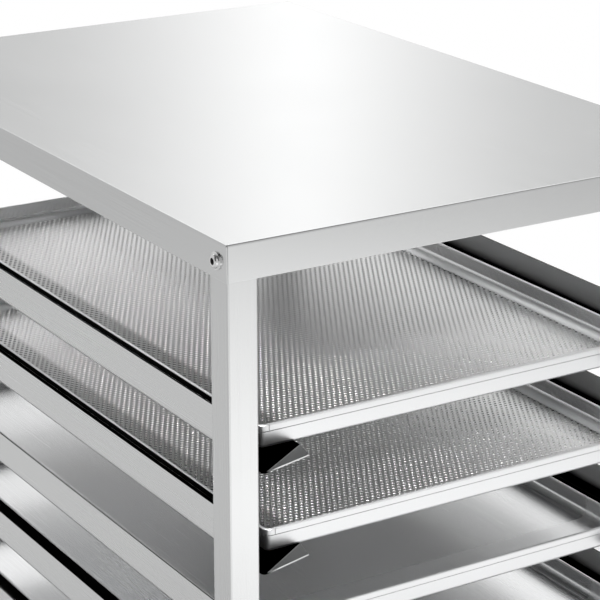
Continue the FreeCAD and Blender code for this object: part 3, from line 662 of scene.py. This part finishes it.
def panel_points(corner, first_row, rows, starts):
    """A panel's grid points, followed by the points round each of its holes."""
    line_x = corner[0] + HOLE_PITCH / 2 * np.arange(GRID_COLUMNS)
    line_y = corner[1] + ROW_PITCH * (first_row + np.arange(rows + 1))
    grid = np.stack(np.meshgrid(line_x, line_y), -1).reshape(-1, 2)
    centres = np.stack((line_x[starts[:, 1] + 1], line_y[starts[:, 0]] + ROW_PITCH / 2), -1)
    angles = 2 * math.pi / HOLE_SIDES * np.arange(HOLE_SIDES)
    around = HOLE_DIAMETER / 2 * np.stack((np.cos(angles), np.sin(angles)), -1)
    holes = (centres[:, None, :] + around[None, :, :]).reshape(-1, 2)
    return np.concatenate((grid, holes))


def panel_outline(rows):
    """Grid points round a panel, anticlockwise from its first corner."""
    outline = list(range(GRID_COLUMNS))
    outline += [row * GRID_COLUMNS + GRID_COLUMNS - 1 for row in range(1, rows + 1)]
    outline += [rows * GRID_COLUMNS + column for column in range(GRID_COLUMNS - 2, -1, -1)]
    return outline + [row * GRID_COLUMNS for row in range(rows - 1, 0, -1)]


def make_panel(name, corner, first_row, rows, bottom):
    """Part of a perforated floor: each hole lies in a cell whose rim joins its neighbours."""
    starts, fillers = panel_cells(first_row, rows)
    flat = panel_points(corner, first_row, rows, starts)
    count = len(flat)
    top = np.column_stack((flat, np.full(count, bottom + TRAY_SHEET)))
    under = np.column_stack((flat, np.full(count, bottom)))
    near = starts[:, 0] * GRID_COLUMNS + starts[:, 1]
    far = near + GRID_COLUMNS
    rim = [near + 2, far + 2, far + 1, far, near, near + 1]
    first = (rows + 1) * GRID_COLUMNS + HOLE_SIDES * np.arange(len(starts))
    hole = [first + side for side in range(HOLE_SIDES)]
    faces = []
    for side, part in enumerate(HOLE_PARTS):
        face = [rim[side], rim[(side + 1) % len(rim)]] + [hole[index] for index in reversed(part)]
        faces += np.stack(face, -1).tolist()
    for row, column in fillers:
        start = row * GRID_COLUMNS + column
        faces.append([start, start + 1, start + 1 + GRID_COLUMNS, start + GRID_COLUMNS])
    flat_faces = faces + [[index + count for index in reversed(face)] for face in faces]
    walls = []
    for side in range(HOLE_SIDES):
        here, after = hole[side], hole[(side + 1) % HOLE_SIDES]
        walls += np.stack((here, after, after + count, here + count), -1).tolist()
    outline = panel_outline(rows)
    sides = [[b, a, a + count, b + count] for a, b in zip(outline, outline[1:] + outline[:1])]
    mesh = bpy.data.meshes.new(name)
    mesh.from_pydata(np.concatenate((top, under)).tolist(), [], flat_faces + sides + walls)
    smooth = [False] * (len(flat_faces) + len(sides)) + [True] * len(walls)
    mesh.polygons.foreach_set("use_smooth", smooth)
    mesh.update()
    return mesh


# Worktop: bent edges, skirts with a butt seam beside each corner, and hems between the legs
WORKTOP_SHEET = 1.0 * MM
WORKTOP_BEND = 1.6 * MM
BEND_STEPS = 6
INNER_BEND_STEPS = 3
SKIRT_CORNER = 0.7 * MM
SKIRT_SEAM = 1.2 * MM
SKIRT_SEAM_WIDTH = 0.3 * MM
SKIRT_SEAM_DEPTH = 0.8 * MM
SKIRT_EDGE = 0.5 * MM
SKIRT_EDGE_STEPS = 6
HEM_WIDTH = 10.0 * MM
HEM_END_GAP = 28.0 * MM


def worktop_profile(bottom, top):
    """From the top face down the skirt, round its lower edge and up to the under face."""
    centre = (WORKTOP_BEND, top - WORKTOP_BEND)
    bend = arc(centre, WORKTOP_BEND, 90, 180, BEND_STEPS)
    lower = arc((SKIRT_EDGE, bottom + SKIRT_EDGE), SKIRT_EDGE, 180, 360, SKIRT_EDGE_STEPS)
    inside = arc(centre, WORKTOP_BEND - WORKTOP_SHEET, 180, 90, INNER_BEND_STEPS)
    seam_start = BEND_STEPS // 2
    points = [(inset, height, 0.0) for inset, height in bend[:seam_start]]
    points += [(inset, height, SKIRT_SEAM_DEPTH) for inset, height in bend[seam_start:] + lower]
    return points + [(inset, height, 0.0) for inset, height in inside]


def add_block(shape, low, high):
    """A closed block between two corners."""
    outline = (low[0], low[1]), (high[0], low[1]), (high[0], high[1]), (low[0], high[1])
    verts = [shape.verts.new((x, y, z)) for z in (low[2], high[2]) for x, y in outline]
    for face in ((3, 2, 1, 0), (4, 5, 6, 7), (0, 1, 5, 4), (1, 2, 6, 5), (2, 3, 7, 6), (3, 0, 4, 7)):
        shape.faces.new([verts[index] for index in face])
    return verts


def make_worktop():
    """The folded sheet, with a hem inside each of its skirts."""
    low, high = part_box("worktop")
    half = (high - low) / 2
    slots = slot_points(SKIRT_SEAM, half.x, SKIRT_SEAM_WIDTH)
    loop = Loop((low + high) / 2, half, SKIRT_CORNER, slots)

    def build(shape):
        rings = sweep(shape, loop, worktop_profile(low.z, high.z))
        shape.faces.new(rings[0])
        shape.faces.new(rings[-1])
        hem_top = low.z + WORKTOP_SHEET
        start, width = WORKTOP_SHEET / 2, WORKTOP_SHEET + HEM_WIDTH
        for sign in (-1, 1):
            across = sorted((sign * (half.x - start), sign * (half.x - width)))
            reach = half.y - HEM_END_GAP
            add_block(shape, (across[0], -reach, low.z), (across[1], reach, hem_top))
            across = sorted((sign * (half.y - start), sign * (half.y - width)))
            reach = half.x - HEM_END_GAP
            add_block(shape, (-reach, across[0], low.z), (reach, across[1], hem_top))

    mesh = mesh_from("worktop_sheet", build)
    return soften(add_piece("worktop_sheet", mesh, "root", "worktop_steel", "y", ["worktop"]))


# Turned pieces
TURN_STEPS = 48


def turn_round(shape, centre, outward, profile, radius_at=None):
    """Turns a profile of (radius, height) about a line along X; closes it where its radius is 0."""
    rings = []
    for radius, height in profile:
        ring = []
        for step in range(TURN_STEPS if radius else 1):
            angle = 2 * math.pi * step / TURN_STEPS
            reach = radius_at(radius, angle) if radius_at else radius
            y, z = reach * math.cos(angle), reach * math.sin(angle)
            ring.append(shape.verts.new((centre[0] + outward * height, centre[1] + y, centre[2] + z)))
        rings.append(ring)
    for low, high in zip(rings, rings[1:]):
        for step in range(TURN_STEPS):
            after = (step + 1) % TURN_STEPS
            face = [low[step % len(low)], low[after % len(low)]]
            face += [high[after % len(high)], high[step % len(high)]]
            shape.faces.new(list(dict.fromkeys(face)))


def hexagon(half_width, angle):
    """How far a hexagon's side lies from its middle, by angle."""
    return half_width / math.cos((angle + math.pi / 6) % (math.pi / 3) - math.pi / 6)


# Screws: flange, crowned head and hexagon socket
SCREW_FLANGE = 6.7 * MM
SCREW_FLANGE_HEIGHT = 1.2 * MM
SCREW_FLANGE_ROUND = 0.4 * MM
SCREW_FLANGE_STEPS = 3
SCREW_NECK = 0.3 * MM
SCREW_HEAD = 5.2 * MM
SCREW_CROWN_STEPS = 8
SCREW_TOP = 3.1 * MM
SCREW_TOP_HEIGHT = 3.6 * MM
SCREW_SHANK = 3.0 * MM
SCREW_DEPTH = 13.0 * MM
KEY_HALF = 2.0 * MM
KEY_CORNER = 2.31 * MM
KEY_EDGE = 2.55 * MM
KEY_CHAMFER = 0.3 * MM
KEY_DEPTH = 2.4 * MM
KEY_TIP = 0.3 * MM


def screw_profile():
    """From the end of the shank over the flange and the crowned head to the socket's edge."""
    neck = SCREW_FLANGE_HEIGHT + SCREW_NECK
    rounding = (SCREW_FLANGE - SCREW_FLANGE_ROUND, SCREW_FLANGE_HEIGHT - SCREW_FLANGE_ROUND)
    points = [(0.0, -SCREW_DEPTH), (SCREW_SHANK, -SCREW_DEPTH), (SCREW_SHANK, 0.0), (SCREW_FLANGE, 0.0)]
    points += arc(rounding, SCREW_FLANGE_ROUND, 0, 90, SCREW_FLANGE_STEPS)
    points += [(SCREW_HEAD + SCREW_NECK, SCREW_FLANGE_HEIGHT), (SCREW_HEAD, neck)]
    for step in range(1, SCREW_CROWN_STEPS + 1):
        turn = math.radians(90 * step / SCREW_CROWN_STEPS)
        radius = SCREW_TOP + (SCREW_HEAD - SCREW_TOP) * math.cos(turn)
        points.append((radius, neck + (SCREW_TOP_HEIGHT - neck) * math.sin(turn)))
    return points + [(KEY_EDGE, SCREW_TOP_HEIGHT)]


def make_screws():
    """Flanged button heads with a hexagon socket painted black as shade, on both side skirts near the
    corners.
    """
    low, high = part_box("worktop_screws")
    middle = (low.z + high.z) / 2
    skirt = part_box("worktop")[1].x
    places = [(side, end * (high.y - SCREW_FLANGE)) for side in (-1, 1) for end in (-1, 1)]
    profile = screw_profile()
    key_start = SCREW_TOP_HEIGHT - KEY_CHAMFER
    key_end = SCREW_TOP_HEIGHT - KEY_DEPTH
    chamfer = [(KEY_EDGE, SCREW_TOP_HEIGHT), (KEY_CORNER, key_start)]
    walls = [(KEY_HALF, key_start), (KEY_HALF, key_end), (0.0, key_end - KEY_TIP)]

    def build_heads(shape):
        for side, y in places:
            turn_round(shape, (side * skirt, y, middle), side, profile)

    def build_sockets(shape):
        for side, y in places:
            centre = (side * skirt, y, middle)
            turn_round(shape, centre, side, chamfer)
            turn_round(shape, centre, side, walls, hexagon)

    heads = mesh_from("worktop_screw_heads", build_heads)
    soften(add_piece("worktop_screw_heads", heads, "root", "fastener_steel", replaced=["worktop_screws"]))
    # The sockets take the black insert plastic's finish: painted shade in the recess
    sockets = mesh_from("worktop_screw_sockets", build_sockets)
    soften(add_piece("worktop_screw_sockets", sockets, "root", "fastener_steel", finish="insert_plastic"))


# Wheels: ribbed tyre and spoked hub
TYRE_CROWN = 0.5 * MM
TYRE_SHOULDER = 5.0 * MM
TYRE_SHOULDER_STEPS = 6
TREAD_GROOVE = 3.2 * MM
GROOVE_WIDTH = 1.2 * MM
GROOVE_DEPTH = 0.8 * MM
SIDE_RING = 4.0 * MM
SIDE_SLOPE = 0.6 * MM
SIDE_STEP = 0.5 * MM
HUB_RIM = 4.0 * MM
HUB_RIM_INSET = 2.0 * MM
HUB_RIM_CHAMFER = 0.5 * MM
HUB_RIM_FOOT = 1.5 * MM
HUB_WEB = 3.5 * MM
HUB_BOSS = 10.0 * MM
HUB_BOSS_CHAMFER = 0.6 * MM
HUB_BOSS_FOOT = 1.0 * MM
HUB_BORE = 4.05 * MM
HUB_SPOKES = 6
SPOKE_WIDTH = 3.0 * MM
SPOKE_SINK = 0.5 * MM
SPOKE_INSET = 1.5 * MM


def tyre_profile(half_width, radius, inner):
    """Half a tyre's section from its middle out to its inner edge."""
    bottom = radius - GROOVE_DEPTH
    points = [(radius, 0.0), (radius, TREAD_GROOVE - GROOVE_WIDTH)]
    points += [(bottom, TREAD_GROOVE - GROOVE_WIDTH / 2), (bottom, TREAD_GROOVE + GROOVE_WIDTH / 2)]
    points.append((radius, TREAD_GROOVE + GROOVE_WIDTH))
    shoulder = (radius - TYRE_CROWN - TYRE_SHOULDER, half_width - TYRE_SHOULDER)
    points += arc(shoulder, TYRE_SHOULDER, 0, 90, TYRE_SHOULDER_STEPS)
    ring = inner + SIDE_RING
    points += [(ring, half_width), (ring - SIDE_SLOPE, half_width - SIDE_STEP)]
    return points + [(inner, half_width - SIDE_STEP)]


def hub_profile(edge, boss_half, rim):
    """Half a hub's section from its bore out to the tyre."""
    inside = rim - HUB_RIM
    boss_edge = (HUB_BOSS - HUB_BOSS_CHAMFER, boss_half), (HUB_BOSS, boss_half - HUB_BOSS_CHAMFER)
    points = [(HUB_BORE, boss_half), *boss_edge]
    points += [(HUB_BOSS + HUB_BOSS_FOOT, HUB_WEB + HUB_BOSS_FOOT), (HUB_BOSS + 2 * HUB_BOSS_FOOT, HUB_WEB)]
    points += [(inside - HUB_RIM_FOOT, HUB_WEB), (inside, HUB_WEB + HUB_RIM_FOOT)]
    return points + [(inside, edge - HUB_RIM_CHAMFER), (inside + HUB_RIM_CHAMFER, edge), (rim, edge)]


def add_spoke(shape, centre, angle, reach, half_depth):
    """One rib from boss to rim, across the whole hub."""
    low = (-half_depth, HUB_BOSS - SPOKE_SINK, -SPOKE_WIDTH / 2)
    verts = add_block(shape, low, (half_depth, reach, SPOKE_WIDTH / 2))
    bmesh.ops.rotate(shape, cent=(0, 0, 0), matrix=Matrix.Rotation(angle, 3, "X"), verts=verts)
    bmesh.ops.translate(shape, vec=centre, verts=verts)


def make_wheel(corner):
    """A ribbed tyre on a spoked hub."""
    body = f"wheel_{corner}"
    tyre_low, tyre_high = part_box(f"wheel_tyre_{corner}")
    hub_low, hub_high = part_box(f"wheel_hub_{corner}")
    centre = (tyre_low + tyre_high) / 2
    half_width = (tyre_high.x - tyre_low.x) / 2
    boss_half = (hub_high.x - hub_low.x) / 2
    rim = (hub_high.z - hub_low.z) / 2
    edge = half_width - HUB_RIM_INSET

    def build_tyre(shape):
        half = tyre_profile(half_width, (tyre_high.y - tyre_low.y) / 2, rim)
        section = half + [(radius, -height) for radius, height in reversed(half[1:])]
        turn_round(shape, centre, 1, section + section[:1])

    def build_hub(shape):
        half = hub_profile(edge, boss_half, rim)
        section = half + [(radius, -height) for radius, height in reversed(half)]
        turn_round(shape, centre, 1, section + section[:1])
        reach = rim - HUB_RIM + SPOKE_SINK
        for spoke in range(HUB_SPOKES):
            add_spoke(shape, centre, 2 * math.pi * spoke / HUB_SPOKES, reach, edge - SPOKE_INSET)

    tyre = mesh_from(f"tyre_{corner}", build_tyre)
    soften(add_piece(f"tyre_{corner}", tyre, body, "tyre_rubber", replaced=[f"wheel_tyre_{corner}"]))
    hub = mesh_from(f"hub_{corner}", build_hub)
    soften(add_piece(f"hub_{corner}", hub, body, "hub_plastic", replaced=[f"wheel_hub_{corner}"]))


# Nodes that keep their CAD shape
SOFT_EDGES = {
    "worktop_steel": 0.2 * MM,
    "frame_steel": 0.0,
    "rail_steel": 0.25 * MM,
    "fastener_steel": 0.15 * MM,
    "castor_zinc": 0.5 * MM,
    "pedal_plastic": 0.8 * MM,
    "insert_plastic": 0.4 * MM,
}


def dress_nodes():
    """Gives each CAD node that still shows its finish and soft edges."""
    for part in frame["record"]["subparts"]:
        node, slot = part["node"], part["material_slot"]
        obj = NODES[node]
        if obj.hide_render:
            continue
        obj.data.materials.clear()
        # Rails on each side get a finish with painted shade on their inner side
        side = "_left" if "left" in node else "_right"
        finish = slot + side if slot == "rail_steel" else slot
        obj.data.materials.append(finish_for(finish, longest_axis(node)))
        soften(obj, SOFT_EDGES[slot])


# Studio floor: pale paper near the object, and a glow farther out
FLOOR_SIZE = 60.0
PAPER = (0.86, 0.86, 0.86)
SHADOW_NEAR = 0.45
SHADOW_FAR = 1.5
POOL_EDGE = 0.76
# Middle, light and reach of each pool of light on the floor
POOLS = ((0.6, -1.65, 0.0), 1.68, 1.55), ((-1.05, -1.8, 0.0), 1.9, 0.9)
BACK_START = 1.7
BACK_END = 2.4
BACK_SHARE = 0.87
RIGHT_START = 1.25
RIGHT_END = 1.42
RIGHT_SHARE = 0.9


def white_to_camera(graph, light):
    """A strength of 1 for rays from the camera, and the light for all others."""
    camera = graph.add("ShaderNodeLightPath").outputs["Is Camera Ray"]
    return graph.add("ShaderNodeMix", {0: camera, 2: light, 3: 1.0}, data_type="FLOAT").outputs[0]


def seen_directly(graph):
    """1 for rays from the camera, and for mirrored and transmitted ones, and 0 for the rest."""
    path = graph.add("ShaderNodeLightPath").outputs
    mirrored = graph.math("MAXIMUM", path["Is Glossy Ray"], path["Is Transmission Ray"])
    return graph.math("MAXIMUM", path["Is Camera Ray"], mirrored)


def floor_glow(graph, place):
    """The light that metal mirrors from the floor: pools in front, dimmer at the back and right."""
    glow = 0.0
    for middle, light, reach in POOLS:
        away = graph.vector_value("DISTANCE", place, middle)
        glow = graph.math("MAXIMUM", graph.span(away, light, POOL_EDGE, 0.0, reach), glow)
    axes = graph.axes(place)
    glow = graph.math("MULTIPLY", glow, graph.span(axes["Y"], 1.0, BACK_SHARE, BACK_START, BACK_END))
    return graph.math("MULTIPLY", glow, graph.span(axes["X"], 1.0, RIGHT_SHARE, RIGHT_START, RIGHT_END))


def make_floor():
    """A floor that takes shadows near the object and turns white to the camera farther out."""
    shape = bmesh.new()
    bmesh.ops.create_grid(shape, x_segments=1, y_segments=1, size=FLOOR_SIZE / 2)
    mesh = bpy.data.meshes.new("floor")
    shape.to_mesh(mesh)
    shape.free()
    floor = bpy.data.objects.new("floor", mesh)
    bpy.context.scene.collection.objects.link(floor)
    made, graph, shader = new_material("floor_paper")
    graph.tree.nodes.remove(shader)
    place = graph.coordinates()
    paper = graph.add("ShaderNodeBsdfDiffuse", {"Color": (*PAPER, 1.0)})
    strength = white_to_camera(graph, floor_glow(graph, place))
    light = graph.add("ShaderNodeEmission", {"Strength": strength})
    away = graph.vector_value("LENGTH", place)
    far = graph.span(away, 0.0, 1.0, SHADOW_NEAR, SHADOW_FAR, soft=True)
    share = graph.math("MULTIPLY", far, seen_directly(graph))
    mix = graph.add("ShaderNodeMixShader", {0: share, 1: paper.outputs[0], 2: light.outputs[0]})
    graph.feed(made.node_tree.nodes["Material Output"].inputs["Surface"], mix.outputs[0])
    mesh.materials.append(made)


# Studio world
WALL_LIGHT = 0.71
WALL_TOP = 0.55
CEILING_LIGHT = 0.25
CEILING_START = 0.85
DARK_HEADING = (-0.98, -0.2, 0.0)
DARK_SHARE = 0.15
DARK_EDGE = 0.79
DARK_CORE = 0.96
STRIP_LIGHT = 0.76
STRIP_TURN = math.radians(31.6)
STRIP_HALF = math.radians(7.5)
STRIP_FALL = 1.3
PANEL_LIGHT = 1.3
PANEL_BOTTOM = 0.44
PANEL_TOP = 0.85
PANEL_FADE = 0.08
PANEL_HALF = math.radians(40)
PANEL_CORE = math.radians(28)
WHITE = (1.0, 1.0, 1.0, 1.0)


def level_heading(graph, direction):
    """The level part of a direction, one long."""
    level = {0: direction, 1: (1.0, 1.0, 0.0)}
    flat = graph.add("ShaderNodeVectorMath", level, operation="MULTIPLY").outputs[0]
    return graph.add("ShaderNodeVectorMath", {0: flat}, operation="NORMALIZE").outputs[0]


def make_world():
    """A bright wall with a dark side and a dim ceiling, and behind the object a brighter strip and panel.

    The camera sees it white."""
    world = bpy.data.worlds.new("studio")
    bpy.context.scene.world = world
    world.use_nodes = True
    graph = Graph(world.node_tree)
    direction = graph.add("ShaderNodeTexCoord").outputs["Generated"]
    rise = graph.axes(direction)["Z"]
    heading = level_heading(graph, direction)
    low = graph.span(rise, 1.0, 0.0, WALL_TOP, CEILING_START, soft=True)
    towards = graph.vector_value("DOT_PRODUCT", heading, DARK_HEADING)
    dark_side = graph.span(towards, 1.0, DARK_SHARE, DARK_EDGE, DARK_CORE, soft=True)
    wall = graph.math("MULTIPLY", graph.span(low, CEILING_LIGHT, WALL_LIGHT, 0.0, 1.0), dark_side)
    strip_heading = (math.sin(STRIP_TURN), math.cos(STRIP_TURN), 0.0)
    aside = graph.math("ARCCOSINE", graph.vector_value("DOT_PRODUCT", heading, strip_heading))
    near = graph.math("POWER", graph.span(aside, 1.0, 0.0, 0.0, STRIP_HALF), STRIP_FALL)
    strip = graph.math("MULTIPLY", graph.math("MULTIPLY", near, low), STRIP_LIGHT)
    above = graph.span(rise, 0.0, 1.0, PANEL_BOTTOM, PANEL_BOTTOM + PANEL_FADE, soft=True)
    below = graph.span(rise, 1.0, 0.0, PANEL_TOP - PANEL_FADE, PANEL_TOP, soft=True)
    across = graph.span(aside, PANEL_LIGHT, 0.0, PANEL_CORE, PANEL_HALF)
    panel = graph.math("MULTIPLY", graph.math("MULTIPLY", above, below), across)
    light = graph.math("ADD", graph.math("ADD", wall, strip), panel)
    background = world.node_tree.nodes["Background"].inputs
    background["Color"].default_value = WHITE
    graph.feed(background["Strength"], white_to_camera(graph, light))


# Studio lamps: cones in degrees and powers in watts
LAMPS = {
    "key": {"spot": (-1.8, -2.4, 3.0), "target": (0.0, 0.0, 0.4), "size": 1.8, "power": 70.0},
    "fill": {"spot": (2.6, -1.2, 2.2), "target": (0.0, 0.0, 0.5), "size": 1.6, "power": 25.0},
}
TRAY_LAMPS = {
    "tray_front": {"spot": (-0.75, -2.45, 2.55), "target": (-0.05, -0.24, 0.67),
                   "cone": 11.0, "power": 950.0},
    "tray_side": {"spot": (-2.3, -1.0, 2.45), "target": (-0.15, 0.0, 0.67),
                  "cone": 12.0, "power": 1250.0},
}
FOOT_LAMP = {"spot": (0.34, 1.82, 2.15), "target": (0.17, -0.1, 0.68), "cone": 30.0, "power": 36.0}
SPOT_RADIUS = 0.3


def aim_lamp(name, lamp, spot, target, power):
    """Puts a lamp at a spot, turned to its target and hidden from the camera."""
    lamp.energy = power
    obj = bpy.data.objects.new(name, lamp)
    bpy.context.scene.collection.objects.link(obj)
    obj.location = spot
    obj.rotation_mode = "QUATERNION"
    obj.rotation_quaternion = (Vector(target) - Vector(spot)).to_track_quat("-Z", "Y")
    obj.visible_camera = False
    return obj


def add_lamp(name, spot, target, size, power):
    """A soft square lamp that metal doesn't mirror."""
    lamp = bpy.data.lights.new(name, "AREA")
    lamp.shape = "SQUARE"
    lamp.size = size
    aim_lamp(name, lamp, spot, target, power).visible_glossy = False


def group_of(name, pieces):
    """A collection of some pieces, for a lamp to be linked to."""
    group = bpy.data.collections.new(name)
    for piece in pieces:
        group.objects.link(piece)
    return group


def add_spot(name, lit, blocking, spot, target, cone, power):
    """A soft spot lamp that lights some pieces alone, and is blocked by some alone."""
    lamp = bpy.data.lights.new(name, "SPOT")
    lamp.shadow_soft_size = SPOT_RADIUS
    lamp.spot_size = math.radians(cone)
    lamp.spot_blend = 1.0
    obj = aim_lamp(name, lamp, spot, target, power)
    obj.light_linking.receiver_collection = group_of(f"{name}_lit", lit)
    obj.light_linking.blocker_collection = group_of(f"{name}_blocking", blocking)


# Camera: lens and sensor in millimetres
CAMERA_SPOT = (-0.95741, -1.61555, 1.32046)
CAMERA_LENS = 135.674
CAMERA_SENSOR = 36.0
CAMERA_NEAR = 0.05
CAMERA_TURN = math.radians(31.61)
CAMERA_PITCH = math.radians(19.16)


def make_camera():
    """The camera that was fitted to the photograph."""
    camera = bpy.data.cameras.new("camera")
    camera.sensor_width = CAMERA_SENSOR
    camera.lens = CAMERA_LENS
    camera.clip_start = CAMERA_NEAR
    obj = bpy.data.objects.new("camera", camera)
    bpy.context.scene.collection.objects.link(obj)
    level = math.cos(CAMERA_PITCH)
    forward = (math.sin(CAMERA_TURN) * level, math.cos(CAMERA_TURN) * level, -math.sin(CAMERA_PITCH))
    obj.location = CAMERA_SPOT
    obj.rotation_mode = "QUATERNION"
    obj.rotation_quaternion = Vector(forward).to_track_quat("-Z", "Y")
    bpy.context.scene.camera = obj


# The whole scene
tray_pieces = []
for tray_level in range(1, LEVELS + 1):
    tray_pieces += make_tray(tray_level)
worktop = make_worktop()
make_screws()
for corner in CORNERS:
    make_wheel(corner)
dress_nodes()
make_floor()
make_world()
for lamp_name, lamp_settings in LAMPS.items():
    add_lamp(lamp_name, **lamp_settings)
tray_shells = [bpy.data.objects[f"tray_{level}_shell"] for level in PERFORATED_LEVELS]
left_rails = [NODES[f"rail_left_{level}"] for level in PERFORATED_LEVELS]
for lamp_name, lamp_settings in TRAY_LAMPS.items():
    add_spot(lamp_name, tray_pieces, tray_pieces + left_rails + [worktop], **lamp_settings)
add_spot("tray_foot", tray_shells, tray_pieces, **FOOT_LAMP)
make_camera()
bpy.context.scene.view_settings.view_transform = "Standard"
